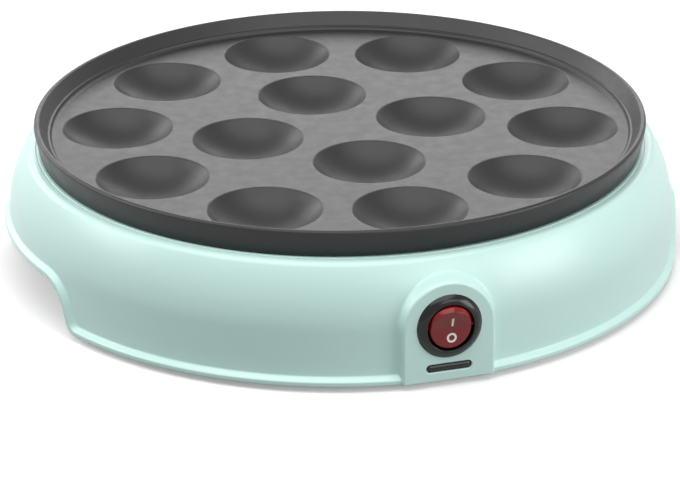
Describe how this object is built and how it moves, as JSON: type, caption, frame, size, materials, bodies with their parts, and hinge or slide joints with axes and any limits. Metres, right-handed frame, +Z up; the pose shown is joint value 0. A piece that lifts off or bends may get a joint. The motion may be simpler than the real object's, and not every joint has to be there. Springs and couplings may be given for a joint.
{
  "type": "poffertjes maker",
  "caption": "Round electric countertop plate with small wells for mini pancakes, in a mint moulded housing with a rocker switch, hand-holds and rubber feet.",
  "frame": {"origin": "on the table, under the centre of the cooking plate", "axes": "+Z up along the plate's axis, -Y towards the rocker switch, X through the two hand-holds"},
  "size_m": [0.25, 0.2586, 0.0554],
  "materials": {
    "mint_abs": "satin moulded",
    "black_plastic": "fine moulded texture",
    "rubber": "matte",
    "steel": "zinc plated",
    "nonstick": "black non-stick coating on a casting",
    "phenolic": "pressed laminate",
    "aluminium": "rolled sheet",
    "element_steel": "oxidised sheath",
    "ceramic": "unglazed",
    "brass": "stamped",
    "sleeve": "woven glass sleeve",
    "gloss_black": "gloss moulded",
    "red_rocker": "translucent gloss",
    "lamp_glass": "clear",
    "nylon": "moulded"
  },
  "bodies": {
    "cooker": {"housing": "mint_abs", "base_tray": "black_plastic", "rubber_feet": "rubber", "base_screws": "steel", "cooking_plate": "nonstick", "plate_screws": "steel", "plate_insulators": "phenolic", "heat_shield": "aluminium", "heating_element": "element_steel", "element_clips": "steel", "clip_screws": "steel", "element_bushes": "ceramic", "element_terminals": "brass", "thermostat": "ceramic", "thermostat_screws": "steel", "thermal_fuse": "sleeve", "fuse_clip": "steel", "fuse_rivets": "aluminium", "earth_tag": "brass", "earth_screw": "steel", "switch_body": "gloss_black", "switch_terminals": "brass", "cord_gland": "rubber", "terminal_block": "nylon", "terminal_screws": "brass", "block_screw": "steel"},
    "switch_rocker": {"rocker": "red_rocker", "switch_lamp": "lamp_glass"},
    "switch_lever": {"contact_lever": "brass"}
  },
  "joints": [
    {"name": "rocker_tilt", "type": "hinge", "parent": "cooker", "child": "switch_rocker", "pos_m": [0, -0.12485, 0.0228], "axis": [-1, 0, 0], "range_deg": [0, 20]},
    {"name": "lever_tilt", "type": "hinge", "parent": "cooker", "child": "switch_lever", "pos_m": [0, -0.1151, 0.0228], "axis": [-1, 0, 0], "range_deg": [-12.05, 0.05]}
  ],
  "couplings": [
    {"joint": "lever_tilt", "follows": "rocker_tilt", "ratio": -0.6}
  ]
}
